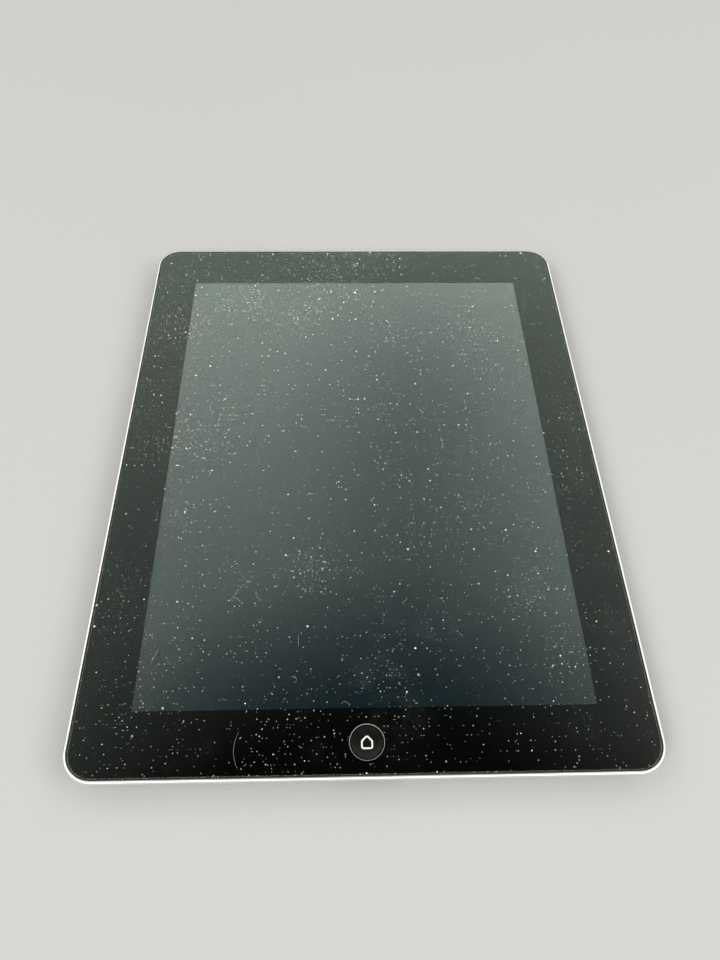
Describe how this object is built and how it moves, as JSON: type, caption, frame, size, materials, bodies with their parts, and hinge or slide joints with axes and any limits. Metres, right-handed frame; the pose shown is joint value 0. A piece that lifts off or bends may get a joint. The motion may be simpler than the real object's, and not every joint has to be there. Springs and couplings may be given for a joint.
{
  "type": "tablet computer",
  "caption": "Slate tablet computer with a 4:3 touch screen, black border, round home button, tapered metal back, side keys, headphone socket and wide dock socket.",
  "frame": {"origin": "centre of the bounding box at its bottom, on the flat back that the tablet lies on", "axes": "+Z out of the screen, +Y towards the end with the front camera and headphone socket, +X towards the side with the volume keys, seen from the front"},
  "size_m": [0.1856, 0.2412, 0.0088],
  "materials": {
    "case_metal": "fine bead-blasted, clear anodised, with a polished rim",
    "key_metal": "satin anodised",
    "slider_metal": "satin anodised",
    "trim_black": "matte",
    "cover_glass": "polished, with dust and finger smudges",
    "black_print": "opaque ink seen through glass",
    "touch_layer": "clear coated film",
    "adhesive_grey": "foam tape",
    "copper_flex": "polyimide flat cable",
    "display_cell": "switched-off display behind a polariser",
    "light_guide": "clear acrylic with diffuser films",
    "tray_metal": "pressed sheet",
    "screw_steel": "machined",
    "button_black": "polished, dished",
    "seal_black": "soft foam",
    "bracket_steel": "pressed sheet",
    "switch_gold": "plated dome",
    "camera_black": "moulded",
    "lens_glass": "polished dark glass",
    "ring_metal": "turned, dark anodised",
    "socket_plastic": "moulded",
    "contact_gold": "gold plated",
    "mesh_metal": "woven dark mesh",
    "socket_steel": "pressed sheet, plated",
    "board_green": "solder mask",
    "board_blue": "solder mask",
    "chip_black": "moulded",
    "shield_metal": "pressed tin-plated sheet",
    "connector_white": "moulded",
    "antenna_copper": "printed copper",
    "battery_foil": "foil pouch in dark film",
    "magnet_nickel": "nickel plated"
  },
  "bodies": {
    "tablet_body": {"rear_case": "case_metal", "trim_gasket": "trim_black", "cover_glass": "cover_glass", "border_print": "black_print", "touch_sensor": "touch_layer", "glass_adhesive": "adhesive_grey", "digitizer_flex": "copper_flex", "lcd_cell": "display_cell", "light_guide": "light_guide", "lcd_tray": "tray_metal", "lcd_screws": "screw_steel", "display_cable": "copper_flex", "home_button_seal": "seal_black", "home_button_bracket": "bracket_steel", "home_switch": "switch_gold", "home_flex": "copper_flex", "front_camera": "camera_black", "front_camera_bracket": "bracket_steel", "light_sensor": "chip_black", "rear_camera": "camera_black", "rear_camera_lens": "lens_glass", "rear_camera_ring": "ring_metal", "headphone_jack": "socket_plastic", "jack_contacts": "contact_gold", "microphone": "shield_metal", "speaker_box": "socket_plastic", "speaker_driver": "chip_black", "speaker_mesh": "mesh_metal", "dock_shell": "socket_steel", "dock_tongue": "socket_plastic", "dock_contacts": "contact_gold", "dock_flex": "copper_flex", "power_switch": "switch_gold", "power_bracket": "bracket_steel", "rocker_pin": "screw_steel", "volume_switches": "switch_gold", "side_switch_base": "socket_plastic", "side_bracket": "bracket_steel", "button_flex": "copper_flex", "bracket_screws": "screw_steel", "logic_board": "board_green", "board_chips": "chip_black", "board_shields": "shield_metal", "board_connectors": "connector_white", "board_screws": "screw_steel", "wifi_board": "board_blue", "antennas": "antenna_copper", "battery_cell_top": "battery_foil", "battery_cell_middle": "battery_foil", "battery_cell_bottom": "battery_foil", "battery_link": "board_green", "battery_adhesive": "adhesive_grey", "cover_magnets": "magnet_nickel"},
    "home_button": {"home_button": "button_black"},
    "power_button": {"power_button": "key_metal"},
    "volume_rocker": {"volume_rocker": "key_metal"},
    "side_switch": {"side_switch": "slider_metal"}
  },
  "joints": [
    {"name": "home_press", "type": "slide", "parent": "tablet_body", "child": "home_button", "axis": [0, 0, -1], "range_m": [0, 0.0003], "stiffness_N_per_m": 1500},
    {"name": "power_press", "type": "slide", "parent": "tablet_body", "child": "power_button", "axis": [0, -1, 0], "range_m": [0, 0.0003], "stiffness_N_per_m": 1500},
    {"name": "volume_rock", "type": "hinge", "parent": "tablet_body", "child": "volume_rocker", "pos_m": [0.0859, 0.0746, 0.0043], "axis": [0, 0, 1], "range_deg": [-1.5, 1.5], "stiffness_Nm_per_rad": 0.4},
    {"name": "lock_slide", "type": "slide", "parent": "tablet_body", "child": "side_switch", "axis": [0, -1, 0], "range_m": [0, 0.0016]}
  ]
}
